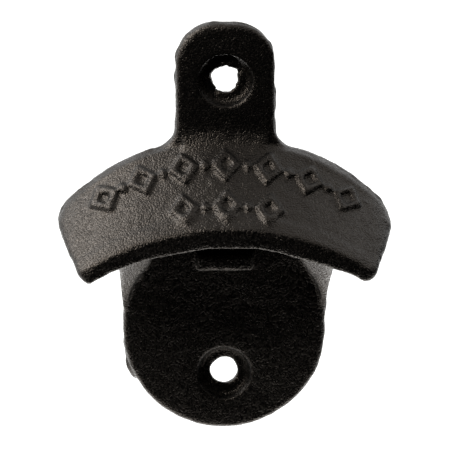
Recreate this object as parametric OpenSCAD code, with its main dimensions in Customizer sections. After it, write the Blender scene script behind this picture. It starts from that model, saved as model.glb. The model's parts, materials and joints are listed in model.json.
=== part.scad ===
// Wall-mounted bottle opener: one sand-cast iron body, held to a wall by two screws.
// A flat plate carries an ear above and a round foot below. An arched hood stands out between
// them, two cheeks prop the hood up, and a tooth under it catches the rim of the bottle cap. The
// hood has two rows of raised lozenges.
// +X is to the right and +Z is up. The wall is the plane Y = 0, and the opener stands out of it
// towards -Y. The origin lies on the wall, halfway between the two screw holes.
// The casting is drawn lying on its back, as it leaves the mould: x to the right, y up the wall
// and z out of the wall. It is stood up at the end.

/* [Screw holes] */
// Distance between the two screw holes
hole_spacing = 74; // [68:1:86]
// Diameter of each screw hole
hole_d = 7; // [5:0.1:8]
// Diameter of the dished seat for each screw's head
seat_d = 13.2; // [11:0.1:15]
// Depth of the dished seats
seat_depth = 2.6; // [1.5:0.1:3.5]
// Radius between a seat's wall and its floor
seat_r = 2; // [0.5:0.1:2.2]

/* [Plate and ear] */
// Thickness of the plate and the ear
plate_t = 5; // [4.5:0.1:7]
// Width of the plate
plate_w = 49.5; // [46:0.5:56]
// Distance from the lower hole to the foot's edge
foot_h = 14; // [10:0.5:18]
// Width of the ear
ear_w = 24; // [21:0.2:30]
// Distance from the upper hole to the ear's top edge
ear_h = 14; // [11:0.5:18]
// Radius of the ear's two corners
ear_corner_r = 10; // [4:0.5:11]
// Radius between the ear's sides and the hood
neck_r = 6.5; // [2:0.5:8]
// Radius on the front edges of the plate and the ear
edge_r = 1.2; // [0.5:0.1:2]

/* [Hood] */
// Distance from the upper hole down to the hood's crown
crown_drop = 15.2; // [13:0.1:18]
// Distance that the hood's rim stands out past the plate's face
rim_step = 0.6; // [0.3:0.1:2]
// Radius of the hood's arch at the wall
hood_r = 54.5; // [48:0.5:62]
// Radius of the hood's arch at its front lip
lip_r = 63.5; // [56:0.5:72]
// Slope of the hood below level, in degrees
hood_pitch = 35; // [28:1:42]
// Depth of the hood out of the wall
hood_depth = 28.5; // [24:0.5:34]
// Width of the hood at the wall
hood_w = 82; // [74:0.5:90]
// Width of the hood at its front lip
lip_w = 74; // [66:0.5:80]
// Thickness of the hood at its crown
hood_t = 3.9; // [3.6:0.1:6]
// Thickness of the hood at its ends
wing_t = 3.2; // [2.8:0.1:3.5]
// Width of the cut that rounds off each wing's upper corner
shoulder_cut = 2.2; // [1:0.1:5]
// Width of the cuts that round off each wing's lower tip
tip_cut = 4; // [2:0.1:6]
// Radius of the hood's two front corners
wing_corner_r = 4; // [2:0.5:8]
// Radius between the ear's face and the hood
root_r = 8; // [4:0.5:12]

/* [Cap pocket] */
// Clear width between the cheeks under the hood
pocket_w = 36; // [33:0.5:40]
// Distance from the lip's lower edge down to the cheeks' feet
cheek_h = 22; // [16:0.5:26]
// Depth that the cheeks reach out of the wall
cheek_depth = 26; // [20:0.5:27]
// Thickness of each cheek at its foot
cheek_foot_t = 1; // [0.6:0.1:3]
// Distance that each cheek leans outwards at the lip
cheek_flare = 2.4; // [0:0.1:3]
// Width of the tooth
tooth_w = 13.5; // [10:0.5:20]
// Distance that the tooth stands out of the plate's face
tooth_reach = 5; // [4:0.1:7]
// Height of the tooth at its tip
tooth_h = 4.6; // [3.5:0.1:6]
// Fall of the tooth's top towards the plate, in degrees
tooth_fall = 10; // [0:1:20]
// Radius on the tooth's edges
tooth_r = 1; // [0.5:0.1:1.6]
// Clear height between the tooth and the lip's lower edge
tooth_gap = 6.1; // [4:0.1:8]

/* [Ornament] */
// Height that the lozenges and studs stand up from the hood
relief_h = 1; // [0.5:0.1:1.5]
// Width of a lozenge
lozenge_w = 7.2; // [5:0.1:7.5]
// Length of a lozenge down the hood's slope
lozenge_l = 10.4; // [8:0.1:11]
// Width of the raised line that a lozenge is drawn with
lozenge_line = 1.6; // [0.8:0.05:1.8]
// Distance from one lozenge to the next in a row
lozenge_pitch = 10.4; // [9:0.1:11]

/* [Hidden] */

// Thickness of the hood measured upright, at its middle and at the ends of its wings
hood_up = hood_t / cos(hood_pitch);
wing_up = wing_t / cos(hood_pitch);

// Distance out of the wall at which the hood's slope starts
rim_z = plate_t + rim_step;

// Heights up the wall, from the origin
ear_top_y = hole_spacing / 2 + ear_h;
foot_y = -hole_spacing / 2 - foot_h;
shield_y = foot_y + plate_w / 2;
crown_y = hole_spacing / 2 - crown_drop;
lip_y = crown_y - (hood_depth - rim_z) * tan(hood_pitch) - hood_up;
cheek_foot_y = lip_y - cheek_h;
tooth_top_y = lip_y - tooth_gap;

// Rise of an arch of radius r over half its width x
function rise(r, x) = r - sqrt(r * r - x * x);

// Middle of the arch that trims the hood's back edge
arch_y = crown_y - hood_r;

// Radius of an underside arch that lies under a top arch of radius r. It is flatter than the top's,
// because the hood thins towards its ends at x.
function under_r(r, x) =
    let (h = rise(r, x) - (hood_up - wing_up))
    (x * x + h * h) / (2 * h);
hood_under_r = under_r(hood_r, hood_w / 2);
lip_under_r = under_r(lip_r, lip_w / 2);

// The two rows of lozenges: where each lies on the way from the hood's rim to its lip, and the most
// lozenges that it has to each side of its middle one
rows = [[0.27, 3], [0.735, 1]];
// Height of a stud between two lozenges as a share of its width
stud_share = 1.8;

// Corners of the cuts at a wing's lower tip, inwards and upwards from it as shares of tip_cut
tip_shares = [[0, 1.45], [0.2, 1], [0.55, 0.7], [1, 0.5]];

// How far one piece of the casting runs into the next
overlap = 1.5;
// Length of a tool that reaches past the whole casting
past = 200;

arc_fn = 96;
curve_steps = 12;

// Distance of the cheeks' front edge out of the wall at height y: tangent to the plate at the foot
function cheek_edge_z(y) =
    plate_t + (cheek_depth - plate_t) * pow((y - cheek_foot_y) / cheek_h, 1.5);

// Half the pocket's width at height y: narrow under the hood, flaring to the plate's sides below
function pocket_half_w(y) =
    let (t = max(0, min(1, (tooth_top_y - y) / (tooth_top_y - cheek_foot_y))))
    pocket_w / 2 + (plate_w / 2 - cheek_foot_t - pocket_w / 2) * sin(90 * t);

// Half a section of the plate, from its middle to a side whose front edge is rounded
module edge_profile(reach) {
    square([reach, plate_t - edge_r]);
    square([reach - edge_r, plate_t]);
    translate([reach - edge_r, plate_t - edge_r])
        circle(r = edge_r, $fn = arc_fn);
}

// A round boss of the plate's thickness with a rounded front edge
module edge_disc(r) {
    rotate_extrude($fn = arc_fn)
        intersection() {
            edge_profile(r);
            square([r, plate_t]);
        }
}

// A straight length of the plate along y, from its middle line to the right
module edge_strip(reach, length) {
    translate([0, length, 0])
        rotate([90, 0, 0])
            linear_extrude(length)
                edge_profile(reach);
}

module both_sides() {
    children();
    mirror([1, 0, 0])
        children();
}

// A solid that fills the space under an arch that slopes out of the wall with the hood. The arch
// lies drop below the hood's top, and its radius goes from back_r at the rim to front_r at the lip.
// Its sections square to the wall's normal are circles, so it is an oblique cone.
module under_slope(drop, back_r, front_r) {
    run = hood_depth - rim_z;
    grow = (front_r - back_r) / run;
    shift = -tan(hood_pitch) - grow;
    start_r = back_r - overlap * grow;
    end_r = front_r + overlap * grow;
    translate([0, crown_y - drop, rim_z])
        multmatrix([
            [1, 0, 0, 0],
            [0, 1, shift, 0],
            [0, 0, 1, 0],
            [0, 0, 0, 1]
        ])
            translate([0, -back_r, -overlap])
                cylinder(r1 = start_r, r2 = end_r, h = run + 2 * overlap, $fn = arc_fn);
}

// A solid that fills the space under the arch that trims the hood at the wall, less an inset
module under_trim(inset = 0) {
    translate([0, arch_y, -overlap])
        cylinder(r = hood_r - inset, h = past, $fn = arc_fn);
}

// The foot and the plate above it, which runs up behind the hood
module plate() {
    translate([0, shield_y, 0])
        edge_disc(plate_w / 2);
    intersection() {
        both_sides()
            translate([0, shield_y, 0])
                edge_strip(plate_w / 2, crown_y - shield_y);
        under_trim(overlap);
    }
}

module ear() {
    corner_y = ear_top_y - ear_corner_r;
    both_sides() {
        translate([ear_w / 2 - ear_corner_r, corner_y, 0])
            edge_disc(ear_corner_r);
        translate([0, lip_y, 0])
            edge_strip(ear_w / 2, corner_y - lip_y);
        translate([ear_w / 2 - ear_corner_r, corner_y, 0])
            rotate([0, 0, 90])
                edge_strip(ear_corner_r, ear_w / 2 - ear_corner_r);
    }
}

// The fillets that ease the ear's sides into the hood's arch
module necks() {
    neck_x = ear_w / 2 + neck_r;
    neck_y = arch_y + sqrt(pow(hood_r + neck_r, 2) - neck_x * neck_x);
    share = hood_r / (hood_r + neck_r);
    touch = [neck_x * share, arch_y + (neck_y - arch_y) * share];
    both_sides()
        difference() {
            linear_extrude(plate_t)
                polygon([
                    [ear_w / 2 - edge_r - overlap, neck_y],
                    [neck_x, neck_y],
                    touch - [overlap, overlap],
                    [ear_w / 2 - edge_r - overlap, lip_y]
                ]);
            translate([neck_x, neck_y, 0])
                rotate_extrude($fn = arc_fn)
                    difference() {
                        translate([0, -overlap])
                            square([neck_r + edge_r, plate_t + 2 * overlap]);
                        translate([neck_r, -2 * overlap])
                            square([2 * edge_r, plate_t - edge_r + 2 * overlap]);
                        translate([neck_r + edge_r, plate_t - edge_r])
                            circle(r = edge_r, $fn = arc_fn);
                    }
        }
}

// The hollow curve where the ear's face runs out into the hood
module root() {
    tangent = root_r * tan((90 - hood_pitch) / 2);
    corner_r = hood_r + rim_step * tan(hood_pitch);
    centre = [corner_r + tangent, plate_t + root_r];
    foot = [corner_r - tangent * sin(hood_pitch), plate_t + tangent * cos(hood_pitch)];
    half_turn = asin((ear_w / 2 - 1.5 * edge_r) / hood_r);
    translate([0, arch_y, 0])
        rotate([0, 0, 90 - half_turn])
            rotate_extrude(angle = 2 * half_turn, $fn = arc_fn)
                difference() {
                    polygon([
                        [centre[0], plate_t - overlap],
                        centre,
                        foot,
                        foot - overlap * [cos(hood_pitch), sin(hood_pitch)],
                        [hood_r - 2 * overlap, plate_t - overlap]
                    ]);
                    translate(centre)
                        circle(r = root_r, $fn = arc_fn);
                }
}

// The cuts that round the wings' ends off, seen square to the wall: a straight one at each upper
// corner and three at each lower tip. The outline is left open above and below.
module wing_cuts() {
    end_x = hood_w / 2;
    end_y = crown_y - rise(hood_r, end_x) - shoulder_cut;
    inner_x = end_x - shoulder_cut;
    inner_y = crown_y - rise(hood_r, inner_x);
    tip_x = lip_w / 2;
    tip_y = lip_y - rise(lip_under_r, tip_x);
    right = [
        [2 * inner_x - end_x, 2 * inner_y - end_y],
        [end_x, end_y],
        for (share = tip_shares) [tip_x - share[0] * tip_cut, tip_y + share[1] * tip_cut]
    ];
    left = [for (i = [len(right) - 1 : -1 : 0]) [-right[i][0], right[i][1]]];
    polygon(concat([[0, past]], right, [[0, -past]], left));
}

// The hood's outline seen from above, as [x, distance out of the wall]
module hood_plan() {
    offset(r = wing_corner_r, $fn = arc_fn / 2)
        offset(delta = -wing_corner_r)
            polygon([
                [-hood_w / 2, -hood_depth],
                [-hood_w / 2, plate_t],
                [-lip_w / 2, hood_depth],
                [lip_w / 2, hood_depth],
                [hood_w / 2, plate_t],
                [hood_w / 2, -hood_depth]
            ]);
}

// The level stretch of the hood between its slope and the wall, as a block that is trimmed with it
module collar() {
    difference() {
        translate([-past / 2, -past / 2, 0])
            cube([past, past, rim_z - rim_step / 2]);
        translate([0, crown_y - hood_up - hood_under_r, -overlap])
            cylinder(r = hood_under_r, h = past, $fn = arc_fn);
    }
}

module hood() {
    intersection() {
        union() {
            collar();
            difference() {
                under_slope(0, hood_r, lip_r);
                under_slope(hood_up, hood_under_r, lip_under_r);
            }
        }
        under_trim();
        translate([0, 0, -overlap])
            linear_extrude(past)
                wing_cuts();
        rotate([-90, 0, 0])
            mirror([0, 1, 0])
                translate([0, 0, -past / 2])
                    linear_extrude(past)
                        intersection() {
                            hood_plan();
                            translate([-past / 2, 0])
                                square(past);
                        }
    }
}

// A lozenge of half width a and half height b
module lozenge(a, b) {
    polygon([[a, 0], [0, b], [-a, 0], [0, -b]]);
}

// The lozenges, and the studs that stand in the gaps between them, drawn on the plane of the slope at
// the hood's crown, with y up the slope from the rim. Each row follows the arch.
module ornament_plan() {
    a = lozenge_w / 2;
    b = lozenge_l / 2;
    inner = 1 - lozenge_line * sqrt(a * a + b * b) / (a * b);
    stud_a = (lozenge_pitch - lozenge_w) / 3;
    for (row = rows) {
        row_r = hood_r + (lip_r - hood_r) * row[0];
        row_y = -(hood_depth - rim_z) * row[0] / cos(hood_pitch);
        room = (hood_w + (lip_w - hood_w) * row[0]) / 2 - shoulder_cut - a;
        count = min(row[1], floor(room / lozenge_pitch));
        for (i = [-2 * count : 2 * count]) {
            turn = lozenge_pitch * i / 2 / row_r * 180 / PI;
            x = row_r * sin(turn);
            translate([x, row_y - rise(row_r, x) * sin(hood_pitch)])
                rotate(-atan(tan(turn) * sin(hood_pitch)))
                    if (i % 2 == 0)
                        difference() {
                            lozenge(a, b);
                            lozenge(a * inner, b * inner);
                        }
                    else
                        lozenge(stud_a, stud_a * stud_share);
        }
    }
}

// The ornament's sides stand square to the slope at the hood's crown
module ornament() {
    intersection() {
        difference() {
            under_slope(-relief_h / cos(hood_pitch), hood_r, lip_r);
            under_slope(hood_up / 2, hood_r, lip_r);
        }
        translate([0, crown_y, rim_z])
            rotate([hood_pitch - 90, 0, 0])
                translate([0, 0, -past / 2])
                    linear_extrude(past)
                        ornament_plan();
    }
}

// The two props between the hood and the plate's sides
module cheeks() {
    heights = [for (i = [0 : curve_steps]) cheek_foot_y + cheek_h * i / curve_steps];
    intersection() {
        under_slope(hood_up / 2, hood_r, lip_r);
        under_trim();
        rotate([90, 0, 90])
            translate([0, 0, -past / 2])
                linear_extrude(past)
                    polygon([
                        [cheek_foot_y, 0],
                        for (y = heights) [y, cheek_edge_z(y)],
                        [crown_y, cheek_depth],
                        [crown_y, 0]
                    ]);
        both_sides()
            linear_extrude(past)
                polygon([
                    [plate_w / 2, cheek_foot_y],
                    [plate_w / 2 + cheek_flare, lip_y],
                    [plate_w / 2 + cheek_flare, crown_y],
                    [pocket_w / 2, crown_y],
                    for (i = [curve_steps : -1 : 0]) [pocket_half_w(heights[i]), heights[i]]
                ]);
    }
}

// The tooth's top falls back towards the plate, so that the cap's rim can't slip off it
module tooth() {
    tip_z = plate_t + tooth_reach;
    root_z = plate_t - tooth_r - overlap;
    top_y = tooth_top_y - (tip_z - root_z) * tan(tooth_fall);
    rotate([90, 0, 90])
        translate([0, 0, -tooth_w / 2])
            linear_extrude(tooth_w)
                offset(r = tooth_r, $fn = arc_fn / 2)
                    offset(delta = -tooth_r)
                        polygon([
                            [top_y, root_z],
                            [tooth_top_y, tip_z],
                            [tooth_top_y - tooth_h, tip_z],
                            [tooth_top_y - tooth_h, root_z]
                        ]);
}

// The way through for a screw, and the dished seat for its head
module screw_hole() {
    translate([0, 0, -overlap])
        cylinder(d = hole_d, h = plate_t + 2 * overlap, $fn = arc_fn);
    translate([0, 0, plate_t - seat_depth])
        rotate_extrude($fn = arc_fn) {
            translate([0, seat_r])
                square([seat_d / 2, seat_depth - seat_r + overlap]);
            square([seat_d / 2 - seat_r, seat_depth + overlap]);
            translate([seat_d / 2 - seat_r, seat_r])
                circle(r = seat_r, $fn = arc_fn);
        }
}

module opener_casting() {
    color("#1b1a19")
        rotate([90, 0, 0])
            difference() {
                union() {
                    plate();
                    ear();
                    necks();
                    root();
                    hood();
                    ornament();
                    cheeks();
                    tooth();
                }
                for (side = [-1, 1])
                    translate([0, side * hole_spacing / 2, 0])
                        screw_hole();
            }
}

opener_casting();
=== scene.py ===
import json
import math

import bmesh
import bpy
import numpy as np
import openvdb
from mathutils import Matrix, Vector


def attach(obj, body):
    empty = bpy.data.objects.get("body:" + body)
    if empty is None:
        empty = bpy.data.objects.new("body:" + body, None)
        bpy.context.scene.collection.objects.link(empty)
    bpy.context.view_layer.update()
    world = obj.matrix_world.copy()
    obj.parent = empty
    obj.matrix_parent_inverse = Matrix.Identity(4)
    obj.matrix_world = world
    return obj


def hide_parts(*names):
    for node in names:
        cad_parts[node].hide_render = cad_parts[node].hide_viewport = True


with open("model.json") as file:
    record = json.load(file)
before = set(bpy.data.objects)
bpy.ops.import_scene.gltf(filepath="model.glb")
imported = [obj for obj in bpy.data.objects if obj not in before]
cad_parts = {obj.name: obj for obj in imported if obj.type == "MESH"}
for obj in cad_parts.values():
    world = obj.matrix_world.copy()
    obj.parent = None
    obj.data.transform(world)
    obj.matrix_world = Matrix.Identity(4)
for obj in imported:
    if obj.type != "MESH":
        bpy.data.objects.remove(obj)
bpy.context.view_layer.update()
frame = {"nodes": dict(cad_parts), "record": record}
mm = 0.001
print("frame loaded")


# each sRGB channel goes through the standard curve to linear
def toLinear(hexColour):
    channel = np.array([int(hexColour[i:i + 2], 16) for i in (1, 3, 5)]) / 255
    linear = np.where(channel <= 0.04045, channel / 12.92, ((channel + 0.055) / 1.055) ** 2.4)
    return (*linear.tolist(), 1.0)


# adds one node with its settings, socket values and incoming links
def addNode(tree, kind, settings=None, values=None, links=None):
    node = tree.nodes.new(kind)
    for name, value in (settings or {}).items():
        setattr(node, name, value)
    for socket, value in (values or {}).items():
        node.inputs[socket].default_value = value
    for socket, source in (links or {}).items():
        tree.links.new(source, node.inputs[socket])
    return node


# rises from 0 to 1 along a cubic that is level at both ends
def easeStep(value):
    t = np.clip(value, 0, 1)
    return t * t * (3 - 2 * t)


# the mean of the cells around each cell, weighted by a bell curve of that spread, one axis at a time
def blur(field, spread):
    reach = int(math.ceil(3 * spread))
    weights = np.exp(-0.5 * (np.arange(-reach, reach + 1) / spread) ** 2)
    weights = (weights / weights.sum()).astype(np.float32)
    for axis in range(3):
        lines = np.moveaxis(field, axis, 0)
        padded = np.concatenate([lines[:1]] * reach + [lines] + [lines[-1:]] * reach)
        count = len(lines)
        lines = sum(weight * padded[k:k + count] for k, weight in enumerate(weights))
        field = np.moveaxis(lines, 0, axis)
    return field


# the screw holes' spacing and radius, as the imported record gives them
screws = next(mount["dims"] for mount in frame["record"]["mounts"] if mount["name"] == "wall_screws")

# the sand casting: the CAD solid with eased edges, filled inner corners and the mould's unevenness
# lengths are in mm, a depth is out of the wall, and a blend is the length over which a change sets in
casting = {
    "cell": 0.44,            # side of one cell of the field
    "margin": 8,             # cells of room around the solid
    "weld": 0.001,           # points of the CAD mesh that lie closer become one
    "ease": 0.27,            # spread of the blur that eases all edges
    "grow": 0.03,            # given back to what that blur takes
    "plateDepth": 5.0,
    "plateBlend": 1.0,
    # the hood's top
    "crown": 21.8,           # its height at the rim
    "rimDepth": 5.6,
    "fall": 0.70,            # per mm of depth
    "arch": 58.0,            # radius
    # the inner corners under the hood
    "fillet": 1.7,           # spread of the blur that fills them
    "filletDrop": 2.0,       # down from the hood's top
    "filletBlend": 1.5,
    "cheekFrom": 12.0,       # from the middle, past the tooth
    "cheekBlend": 2.0,
    # the rounder lip, rim and wings' ends
    "lipSoft": 0.5,          # spread of the blur that rounds the lip
    "lipGrow": 0.28,         # given back to what it takes
    "lipFrom": 23.5,         # depth
    "lipBlend": 2.5,
    "wingSoft": 1.25,        # the same for the rim and the wings' ends
    "wingGrow": 0.36,
    "wingFrom": 32.0,        # from the middle
    "wingBlend": 5.0,
    "rimFrom": 15.0,         # from the middle, past the ear
    "rimTo": 7.5,            # depth
    "rimHeight": 6.0,        # down from the hood's top
    "rimBlend": 2.0,
    # what is left of the gate on the plate's edge
    "stubAt": (-22.0, -2.2, -36.7),
    "stubSize": (1.2, 1.5, 3.0),   # half its width, depth and length
    "stubTurn": 27,          # degrees that it leans along the edge
    # the mould's unevenness: each kind has a size and the spread of the blur that gives its scale
    "seed": 11,
    "wave": 0.12,            # slow waves
    "waveSpread": 3.2,
    "lump": 0.03,            # sand lumps
    "lumpSpread": 0.55,
    "partDepth": 2.4,        # where the mould's halves met
    "partWidth": 0.7,
    "partRidge": 0.12,       # how far the parting line stands out
    "partNick": 0.16,        # nicks along it
    "partSpread": 0.9,
    "holeHeight": screws["spacing_y_mm"] / 2,   # the upper screw hole
    "holeRadius": screws["hole_r_mm"],
    "holeNick": 0.24,        # nicks round its edge
    "holeSpread": 0.5,
    "holeRim": 1.0,          # how far they reach from the edge
}


# distance in mm from each cell to the node's skin, below zero inside, and the lowest cell's index
def nodeField(node, c):
    skin = bmesh.new()
    skin.from_mesh(node.data)
    bmesh.ops.remove_doubles(skin, verts=skin.verts, dist=c["weld"] * mm)
    bmesh.ops.triangulate(skin, faces=skin.faces)
    mesh = bpy.data.meshes.new("fieldSkin")
    skin.to_mesh(mesh)
    skin.free()
    points = np.empty(3 * len(mesh.vertices), np.float32)
    mesh.vertices.foreach_get("co", points)
    points = points.reshape(-1, 3) / mm
    corners = np.empty(len(mesh.loops), np.int32)
    mesh.loops.foreach_get("vertex_index", corners)
    bpy.data.meshes.remove(mesh)
    grid = openvdb.FloatGrid.createLevelSetFromPolygons(
        points, triangles=corners.reshape(-1, 3).astype(np.uint32),
        transform=openvdb.createLinearTransform(voxelSize=c["cell"]), halfWidth=c["margin"])
    low = np.floor(points.min(0) / c["cell"]).astype(int) - c["margin"]
    high = np.ceil(points.max(0) / c["cell"]).astype(int) + c["margin"]
    field = np.empty(high - low + 1, np.float32)
    grid.copyToArray(field, ijk=tuple(int(i) for i in low))
    return field, low


# height of the hood's top: it falls evenly with the depth, and to the sides along a parabola
def hoodTop(x, depth, c):
    return c["crown"] - c["fall"] * (depth - c["rimDepth"]) - x ** 2 / (2 * c["arch"])


# under the hood an inner corner is filled, as the blurred field lies lower there than the sharp one
def fillCorners(field, x, depth, z, c):
    below = hoodTop(x, depth, c) - z
    under = easeStep((below - c["filletDrop"]) / c["filletBlend"])
    under = under * easeStep((depth - c["plateDepth"]) / c["plateBlend"])
    under = under * easeStep((np.abs(x) - c["cheekFrom"]) / c["cheekBlend"])
    return field + under * (np.minimum(field, blur(field, c["fillet"] / c["cell"])) - field)


# the lip, the rim and the wings' ends are rounder: there the field runs into a more blurred one, for
# which the section near the wall is carried on behind it, so that the back keeps its edges
def roundEnds(body, x, depth, z, c):
    flush = body.copy()
    nearWall = np.flatnonzero(depth.ravel() < c["plateDepth"] / 2)[0]
    flush[:, nearWall:] = flush[:, nearWall:nearWall + 1]
    lip = easeStep((depth - c["lipFrom"]) / c["lipBlend"])
    rim = easeStep((np.abs(x) - c["rimFrom"]) / c["wingBlend"])
    rim = rim * easeStep((c["rimTo"] - depth) / c["rimBlend"])
    rim = rim * easeStep((z - hoodTop(x, depth, c) + c["rimHeight"]) / c["rimBlend"])
    wings = np.maximum(easeStep((np.abs(x) - c["wingFrom"]) / c["wingBlend"]), rim)
    for share, spread, grow in ((lip, c["lipSoft"], c["lipGrow"]),
                                (wings, c["wingSoft"], c["wingGrow"])):
        body = body + share * (blur(flush, spread / c["cell"]) - grow - body)
    return body


# about the distance to the gate's stub, which is an ellipsoid turned along the plate's edge
def gateStub(x, y, z, c):
    dx, dy, dz = (v - at for v, at in zip((x, y, z), c["stubAt"]))
    lean = math.radians(c["stubTurn"])
    across = dx * math.cos(lean) + dz * math.sin(lean)
    along = dx * math.sin(lean) - dz * math.cos(lean)
    ratio = np.sqrt(sum((v / size) ** 2 for v, size in zip((across, dy, along), c["stubSize"])))
    return (ratio - 1) * min(c["stubSize"])


# adds seeded noise, blurred to each scale and brought to a spread of 1, and the parting line's ridge
def addUnevenness(body, x, depth, z, c):
    chance = np.random.default_rng(c["seed"])
    partLine = np.exp(-((depth - c["partDepth"]) / c["partWidth"]) ** 2)
    holeEdge = np.exp(-((np.hypot(x, z - c["holeHeight"]) - c["holeRadius"]) / c["holeRim"]) ** 2)
    for size, spread in ((c["wave"], c["waveSpread"]),
                         (c["lump"], c["lumpSpread"]),
                         (c["partNick"] * partLine, c["partSpread"]),
                         (c["holeNick"] * holeEdge, c["holeSpread"])):
        noise = blur(chance.standard_normal(body.shape, dtype=np.float32), spread / c["cell"])
        body = body + size * noise / noise.std()
    return body - c["partRidge"] * partLine


# the field's zero surface as quads, turned to face outwards
def fieldMesh(name, body, low, c):
    grid = openvdb.FloatGrid(float(c["margin"] * c["cell"]))
    grid.transform = openvdb.createLinearTransform(voxelSize=c["cell"])
    grid.copyFromArray(body.astype(np.float32), ijk=tuple(int(i) for i in low))
    points, quads = grid.convertToQuads(isovalue=0)
    mesh = bpy.data.meshes.new(name)
    mesh.from_pydata((points * mm).tolist(), [], quads[:, ::-1].tolist())
    mesh.polygons.foreach_set("use_smooth", np.ones(len(quads), bool))
    mesh.update()
    print("casting made:", len(points), "points,", 2 * len(quads), "triangles")
    return mesh


def makeCasting(c):
    field, low = nodeField(frame["nodes"]["opener_casting"], c)
    x, y, z = (c["cell"] * (low[a] + np.arange(field.shape[a], dtype=np.float32)) for a in range(3))
    x, depth, z = x[:, None, None], -y[None, :, None], z[None, None, :]
    body = fillCorners(field, x, depth, z, c)
    body = blur(body, c["ease"] / c["cell"])
    body = roundEnds(body, x, depth, z, c)
    body = np.minimum(body, gateStub(x, -depth, z, c))  # joined where it lies nearer than the body
    body = addUnevenness(body, x, depth, z, c) - c["grow"]
    body = np.maximum(body, -depth)  # the back lies flat on the wall
    piece = bpy.data.objects.new("castOpener", fieldMesh("castOpener", body, low, c))
    bpy.context.scene.collection.objects.link(piece)
    return piece


# grey iron, sand cast and dipped in thin black enamel: dark and half matt, with a skin of fine sand grain
blackIron = {
    "dark": "#050504",
    "light": "#0b0a0a",
    "gleam": "#ffecd8",      # the enamel's gleam is a little warm
    "specular": 0.25,        # and weaker than a full coat's
    "patterns": {            # size in mm, detail and roughness of each noise
        "grain": (0.42, 1.0, 0.4),   # sand under the enamel, a little coarser than real so that it shows
        "pits": (2.6, 2.0, 0.5),     # shallow pits and lumps
        "patches": (9.0, 2.0, 0.5),  # cloudy change of colour
    },
    "grainDepth": 0.24,      # mm
    "pitDepth": 0.12,        # mm
    "grainRange": (0.35, 0.65),      # the noise's values in the grain's hollows and on its tops
    "roughness": (0.18, 0.50),       # the enamel's roughness in the same places
}


def makeBlackIron(b):
    material = bpy.data.materials.new("sandCastIronBlackEnamel")
    material.use_nodes = True
    tree = material.node_tree
    tree.nodes.clear()
    place = addNode(tree, "ShaderNodeTexCoord").outputs["Object"]
    noise = {}
    for name, (size, detail, roughness) in b["patterns"].items():
        noise[name] = addNode(tree, "ShaderNodeTexNoise",
                              values={"Scale": 1 / (size * mm), "Detail": detail, "Roughness": roughness},
                              links={"Vector": place}).outputs["Fac"]
    # sockets 6 and 7 are the two colours, and output 2 is their mix
    colour = addNode(tree, "ShaderNodeMix", settings={"data_type": "RGBA"},
                     values={6: toLinear(b["dark"]), 7: toLinear(b["light"])},
                     links={0: noise["patches"]}).outputs[2]
    rough = addNode(tree, "ShaderNodeMapRange",
                    values={"From Min": b["grainRange"][0], "From Max": b["grainRange"][1],
                            "To Min": b["roughness"][0], "To Max": b["roughness"][1]},
                    links={"Value": noise["grain"]}).outputs["Result"]
    pitBump = addNode(tree, "ShaderNodeBump", values={"Strength": 1.0, "Distance": b["pitDepth"] * mm},
                      links={"Height": noise["pits"]}).outputs["Normal"]
    grainBump = addNode(tree, "ShaderNodeBump", values={"Strength": 1.0, "Distance": b["grainDepth"] * mm},
                        links={"Height": noise["grain"], "Normal": pitBump}).outputs["Normal"]
    shader = addNode(tree, "ShaderNodeBsdfPrincipled",
                     values={"Specular IOR Level": b["specular"], "Specular Tint": toLinear(b["gleam"])},
                     links={"Base Color": colour, "Roughness": rough, "Normal": grainBump}).outputs["BSDF"]
    addNode(tree, "ShaderNodeOutputMaterial", links={"Surface": shader})
    print("enamel made")
    return material


opener = makeCasting(casting)
opener.data.materials.append(makeBlackIron(blackIron))
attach(opener, "root")
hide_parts("opener_casting")

# studio: white floor and world, a soft box on each side, a small key box, a bounce sheet below
# and black cards in front, under the front and on the right
studio = {
    "floor": ((-4, -4, -0.22), (8, 0, 0), (0, 8, 0)),   # corner and two sides in m, as for the cards
    "floorColour": "#f2f2f0",
    "floorRoughness": 0.9,
    "floorLift": 0.45,       # light that the floor adds where it is seen, so that it shows white
    "worldLight": 0.55,      # on matt surfaces
    "cardColour": "#050505",
    "cardRoughness": 0.95,
    "cardSpecular": 0.1,
    "cards": {
        "frontCard": ((-0.7, -0.25, -0.22), (1.4, 0, 0), (0, 0, 0.62)),
        "footCard": ((-0.7, -0.25, -0.219), (1.4, 0, 0), (0, 0.165, 0)),
        "rightCard": ((0.6, -0.25, -0.22), (0, 0.85, 0), (0, 0, 0.45)),
    },
    "lamps": {               # place, aim and size in m, and power in W
        "leftBox": ((-0.75, 0.18, 0.62), (0, 0, 0), (0.7, 0.7), 17.5),
        "rightBox": ((0.75, 0.18, 0.62), (0, 0, 0), (0.7, 0.7), 1.2),
        "keyBox": ((-0.22, -0.23, 0.24), (0, 0, 0), (0.12, 0.12), 1.5),
        "bounce": ((0, 0.06, -0.2), (0, 0.06, 0), (0.4, 0.3), 1.0),
    },
}


# a flat sheet: a corner, then that corner plus one side, both sides and the other side
def makeSheet(name, corner, side, rise, material):
    corners = np.array(corner) + np.array([(0, 0, 0), side, np.add(side, rise), rise])
    mesh = bpy.data.meshes.new(name)
    mesh.from_pydata(corners.tolist(), [], [(0, 1, 2, 3)])
    mesh.materials.append(material)
    sheet = bpy.data.objects.new(name, mesh)
    bpy.context.scene.collection.objects.link(sheet)
    return sheet


# 1 for camera, glossy and transmission rays, which see the white background
def seenWhite(tree):
    path = addNode(tree, "ShaderNodeLightPath").outputs
    direct = addNode(tree, "ShaderNodeMath", settings={"operation": "MAXIMUM"},
                     links={0: path["Is Camera Ray"], 1: path["Is Glossy Ray"]}).outputs["Value"]
    return addNode(tree, "ShaderNodeMath", settings={"operation": "MAXIMUM"},
                   links={0: direct, 1: path["Is Transmission Ray"]}).outputs["Value"]


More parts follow.
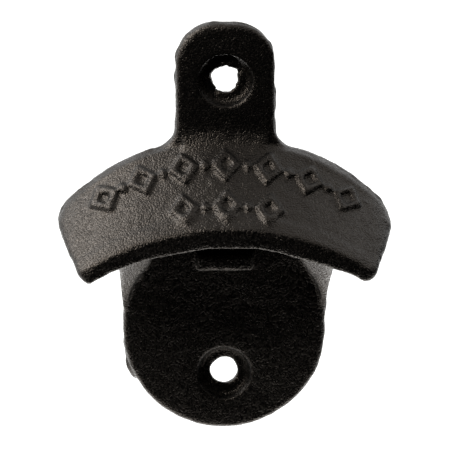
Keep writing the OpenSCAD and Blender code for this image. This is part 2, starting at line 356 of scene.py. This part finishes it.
def makeFloor(s):
    material = bpy.data.materials.new("whitePaper")
    material.use_nodes = True
    tree = material.node_tree
    shader = tree.nodes["Principled BSDF"]
    shader.inputs["Base Color"].default_value = toLinear(s["floorColour"])
    shader.inputs["Roughness"].default_value = s["floorRoughness"]
    shader.inputs["Emission Color"].default_value = (1, 1, 1, 1)
    lift = addNode(tree, "ShaderNodeMath", settings={"operation": "MULTIPLY"}, values={1: s["floorLift"]},
                   links={0: seenWhite(tree)})
    tree.links.new(lift.outputs["Value"], shader.inputs["Emission Strength"])
    # the paper is clear from below, so that the underside can be looked at
    below = addNode(tree, "ShaderNodeNewGeometry").outputs["Backfacing"]
    clear = addNode(tree, "ShaderNodeBsdfTransparent").outputs["BSDF"]
    paper = addNode(tree, "ShaderNodeMixShader", links={0: below, 1: shader.outputs["BSDF"], 2: clear})
    tree.links.new(paper.outputs["Shader"], tree.nodes["Material Output"].inputs["Surface"])
    makeSheet("floor", *s["floor"], material)


def makeCards(s):
    material = bpy.data.materials.new("blackCard")
    material.use_nodes = True
    shader = material.node_tree.nodes["Principled BSDF"]
    shader.inputs["Base Color"].default_value = toLinear(s["cardColour"])
    shader.inputs["Roughness"].default_value = s["cardRoughness"]
    shader.inputs["Specular IOR Level"].default_value = s["cardSpecular"]
    for name, place in s["cards"].items():
        makeSheet(name, *place, material).visible_camera = False


def makeWorld(s):
    world = bpy.data.worlds.new("studio")
    bpy.context.scene.world = world
    world.use_nodes = True
    tree = world.node_tree
    tree.nodes.clear()
    level = addNode(tree, "ShaderNodeMapRange", values={"To Min": s["worldLight"], "To Max": 1.0},
                    links={"Value": seenWhite(tree)}).outputs["Result"]
    sky = addNode(tree, "ShaderNodeBackground", values={"Color": (1, 1, 1, 1)}, links={"Strength": level})
    addNode(tree, "ShaderNodeOutputWorld", links={"Surface": sky.outputs["Background"]})


def makeLamps(s):
    for name, (place, aim, size, power) in s["lamps"].items():
        lamp = bpy.data.lights.new(name, "AREA")
        lamp.shape = "RECTANGLE"
        lamp.size, lamp.size_y = size
        lamp.energy = power
        box = bpy.data.objects.new(name, lamp)
        box.location = place
        box.rotation_euler = (Vector(aim) - Vector(place)).to_track_quat("-Z", "Y").to_euler()
        box.visible_camera = False
        bpy.context.scene.collection.objects.link(box)


makeFloor(studio)
makeCards(studio)
makeWorld(studio)
makeLamps(studio)
print("studio made")

# a long lens a little above the opener and to its left
view = {
    "azimuth": 1.8,          # degrees to the left of square
    "lift": 15.2,            # degrees above level
    "roll": 0.29,            # degrees
    "distance": 1.546,       # m
    "sensor": 36,            # mm
    "pixelsPerMm": 4.077,    # at the frame's origin
    "origin": (224.2, 222.7),   # pixel of the frame's origin
    "imageSize": 451,        # pixels
}


# the camera aims at the image's middle, in the plane through the frame's origin that faces the camera
def makeCamera(v):
    az, lift, roll = (math.radians(v[k]) for k in ("azimuth", "lift", "roll"))
    back = Vector((-math.sin(az) * math.cos(lift), -math.cos(az) * math.cos(lift), math.sin(lift)))
    right = Vector((math.cos(az), -math.sin(az), 0))
    up = back.cross(right)
    right, up = right * math.cos(roll) + up * math.sin(roll), up * math.cos(roll) - right * math.sin(roll)
    middle = v["imageSize"] / 2
    step = mm / v["pixelsPerMm"]
    aim = right * (middle - v["origin"][0]) * step - up * (middle - v["origin"][1]) * step
    lens = bpy.data.cameras.new("camera")
    lens.sensor_width = v["sensor"]
    lens.lens = v["sensor"] * v["pixelsPerMm"] * v["distance"] / mm / v["imageSize"]
    camera = bpy.data.objects.new("camera", lens)
    camera.matrix_world = Matrix((right, up, back)).transposed().to_4x4()
    camera.location = aim + back * v["distance"]
    bpy.context.scene.collection.objects.link(camera)
    bpy.context.scene.camera = camera


makeCamera(view)
bpy.context.scene.view_settings.view_transform = "Standard"
print("camera set")
